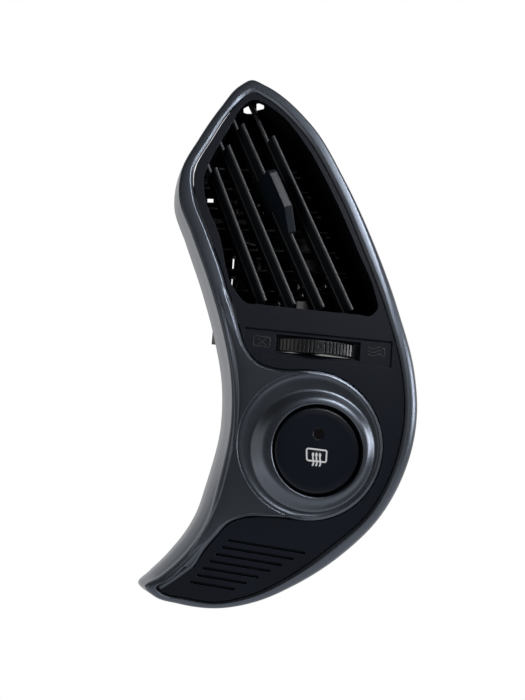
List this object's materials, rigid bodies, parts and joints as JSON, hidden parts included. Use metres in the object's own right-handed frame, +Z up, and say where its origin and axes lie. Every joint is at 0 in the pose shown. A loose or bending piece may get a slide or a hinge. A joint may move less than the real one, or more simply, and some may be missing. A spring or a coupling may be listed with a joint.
{
  "type": "dashboard air vent",
  "caption": "Side dashboard air vent with leaning slats, a sliding knob, a thumbwheel shut-off and a round push switch in one curved bezel.",
  "frame": {"origin": "root of the locating pin behind the panel, in the plane that the bezel's rim seats in", "axes": "+Y points into the dashboard, away from the cabin, +Z up along the panel, +X to the right as seen from the cabin"},
  "size_m": [0.1279, 0.1056, 0.253],
  "materials": {
    "bezel_grey": "satin grey metallic paint on a moulding, with a soft sheen on the edges",
    "insert_black": "black moulding with a fine even texture",
    "duct_black": "plain black moulding, dull",
    "vane_black": "smooth black moulding with a low sheen",
    "button_black": "satin black moulding",
    "lens_dark": "polished dark lamp window",
    "seal_foam": "soft closed-cell foam",
    "board_green": "glass-fibre board with green lacquer",
    "part_dark": "moulded case of a small electric part",
    "plunger_light": "natural white moulding",
    "lamp_body": "small lamp with a clear dome",
    "pin_metal": "plated contact pins",
    "screw_metal": "zinc-plated steel",
    "clip_metal": "spring steel, plain",
    "link_plastic": "slippery dark grey moulding"
  },
  "bodies": {
    "frame": {"bezel": "bezel_grey", "insert_panel": "insert_black", "vent_housing": "duct_black", "duct_gasket": "seal_foam", "switch_housing": "duct_black", "switch_board": "board_green", "push_switch": "part_dark", "indicator_lamp": "lamp_body", "legend_lamp": "lamp_body", "connector_shroud": "part_dark", "connector_pins": "pin_metal", "housing_screws": "screw_metal", "switch_screws": "screw_metal", "spring_clips": "clip_metal"},
    "slat_1": {"front_vane_1": "vane_black"},
    "slat_2": {"front_vane_2": "vane_black"},
    "slat_3": {"front_vane_3": "vane_black"},
    "slat_4": {"front_vane_4": "vane_black"},
    "slat_link": {"front_vane_link": "link_plastic"},
    "knob": {"vane_knob": "vane_black"},
    "vane_1": {"rear_vane_1": "vane_black"},
    "vane_2": {"rear_vane_2": "vane_black"},
    "vane_3": {"rear_vane_3": "vane_black"},
    "vane_4": {"rear_vane_4": "vane_black"},
    "vane_5": {"rear_vane_5": "vane_black"},
    "vane_6": {"rear_vane_6": "vane_black"},
    "vane_7": {"rear_vane_7": "vane_black"},
    "vane_8": {"rear_vane_8": "vane_black"},
    "vane_link": {"rear_vane_link": "link_plastic"},
    "wheel": {"thumbwheel": "vane_black"},
    "rod": {"wheel_rod": "link_plastic"},
    "damper": {"damper_lever": "link_plastic", "damper_plate": "duct_black", "damper_seal": "seal_foam"},
    "switch_cap": {"button_cap": "button_black", "indicator_lens": "lens_dark", "switch_plunger": "plunger_light"}
  },
  "joints": [
    {"name": "slat_3_swing", "type": "hinge", "parent": "frame", "child": "slat_3", "pos_m": [-0.01039, -0.01086, 0.06802], "axis": [-0.3673, 0.1375, 0.9199], "range_deg": [-37, 13]},
    {"name": "slat_1_swing", "type": "hinge", "parent": "frame", "child": "slat_1", "pos_m": [-0.03536, -0.01076, 0.06869], "axis": [-0.3214, 0.14, 0.9365], "range_deg": [-37, 13]},
    {"name": "slat_2_swing", "type": "hinge", "parent": "frame", "child": "slat_2", "pos_m": [-0.02311, -0.01082, 0.06828], "axis": [-0.3502, 0.1384, 0.9264], "range_deg": [-37, 13]},
    {"name": "slat_4_swing", "type": "hinge", "parent": "frame", "child": "slat_4", "pos_m": [0.00278, -0.01087, 0.06793], "axis": [-0.373, 0.1371, 0.9176], "range_deg": [-37, 13]},
    {"name": "slat_link_pivot", "type": "hinge", "parent": "slat_3", "child": "slat_link", "pos_m": [-0.00311, -0.00607, 0.04379], "axis": [-0.3673, 0.1375, 0.9199], "range_deg": [-13, 37]},
    {"name": "knob_slide", "type": "slide", "parent": "slat_3", "child": "knob", "axis": [-0.3673, 0.1375, 0.9199], "range_m": [-0.00472, 0.00472]},
    {"name": "vane_1_swing", "type": "hinge", "parent": "frame", "child": "vane_1", "pos_m": [0, 0.00866, 0.03626], "axis": [1, 0, 0], "range_deg": [-25.5, 25.5]},
    {"name": "vane_2_swing", "type": "hinge", "parent": "frame", "child": "vane_2", "pos_m": [0, 0.01024, 0.04684], "axis": [1, 0, 0], "range_deg": [-25.5, 25.5]},
    {"name": "vane_3_swing", "type": "hinge", "parent": "frame", "child": "vane_3", "pos_m": [0, 0.01182, 0.05743], "axis": [1, 0, 0], "range_deg": [-25.5, 25.5]},
    {"name": "vane_4_swing", "type": "hinge", "parent": "frame", "child": "vane_4", "pos_m": [0, 0.01341, 0.06801], "axis": [1, 0, 0], "range_deg": [-25.5, 25.5]},
    {"name": "vane_5_swing", "type": "hinge", "parent": "frame", "child": "vane_5", "pos_m": [0, 0.01499, 0.07859], "axis": [1, 0, 0], "range_deg": [-25.5, 25.5]},
    {"name": "vane_6_swing", "type": "hinge", "parent": "frame", "child": "vane_6", "pos_m": [0, 0.01657, 0.08917], "axis": [1, 0, 0], "range_deg": [-25.5, 25.5]},
    {"name": "vane_7_swing", "type": "hinge", "parent": "frame", "child": "vane_7", "pos_m": [0, 0.01815, 0.09976], "axis": [1, 0, 0], "range_deg": [-25.5, 25.5]},
    {"name": "vane_8_swing", "type": "hinge", "parent": "frame", "child": "vane_8", "pos_m": [0, 0.01973, 0.11034], "axis": [1, 0, 0], "range_deg": [-25.5, 25.5]},
    {"name": "vane_link_pivot", "type": "hinge", "parent": "vane_6", "child": "vane_link", "pos_m": [-0.02, 0.02112, 0.08849], "axis": [1, 0, 0], "range_deg": [-25.5, 25.5]},
    {"name": "wheel_turn", "type": "hinge", "parent": "frame", "child": "wheel", "pos_m": [0.0013, 0.00302, 0.0163], "axis": [0.075, 0, 0.9972], "range_deg": [-28, 39]},
    {"name": "rod_pivot", "type": "hinge", "parent": "wheel", "child": "rod", "pos_m": [-0.01028, 0.00302, 0.02239], "axis": [0.075, 0, 0.9972], "range_deg": [-39, 28]},
    {"name": "damper_turn", "type": "hinge", "parent": "frame", "child": "damper", "pos_m": [-0.0115, 0.05, 0.0555], "axis": [0.075, 0, 0.9972], "range_deg": [-28, 39]},
    {"name": "cap_press", "type": "slide", "parent": "frame", "child": "switch_cap", "axis": [0, 1, 0], "range_m": [0, 0.0015], "stiffness_N_per_m": 800, "springref_m": -0.0005}
  ],
  "couplings": [
    {"joint": "slat_1_swing", "follows": "slat_3_swing", "ratio": 1},
    {"joint": "slat_2_swing", "follows": "slat_3_swing", "ratio": 1},
    {"joint": "slat_4_swing", "follows": "slat_3_swing", "ratio": 1},
    {"joint": "slat_link_pivot", "follows": "slat_3_swing", "ratio": -1},
    {"joint": "vane_1_swing", "follows": "knob_slide", "rad_per_m": -92.504},
    {"joint": "vane_2_swing", "follows": "knob_slide", "rad_per_m": -92.504},
    {"joint": "vane_3_swing", "follows": "knob_slide", "rad_per_m": -92.504},
    {"joint": "vane_4_swing", "follows": "knob_slide", "rad_per_m": -92.504},
    {"joint": "vane_5_swing", "follows": "knob_slide", "rad_per_m": -92.504},
    {"joint": "vane_6_swing", "follows": "knob_slide", "rad_per_m": -92.504},
    {"joint": "vane_7_swing", "follows": "knob_slide", "rad_per_m": -92.504},
    {"joint": "vane_8_swing", "follows": "knob_slide", "rad_per_m": -92.504},
    {"joint": "vane_link_pivot", "follows": "knob_slide", "rad_per_m": 92.504},
    {"joint": "rod_pivot", "follows": "wheel_turn", "ratio": -1},
    {"joint": "damper_turn", "follows": "wheel_turn", "ratio": 1}
  ]
}
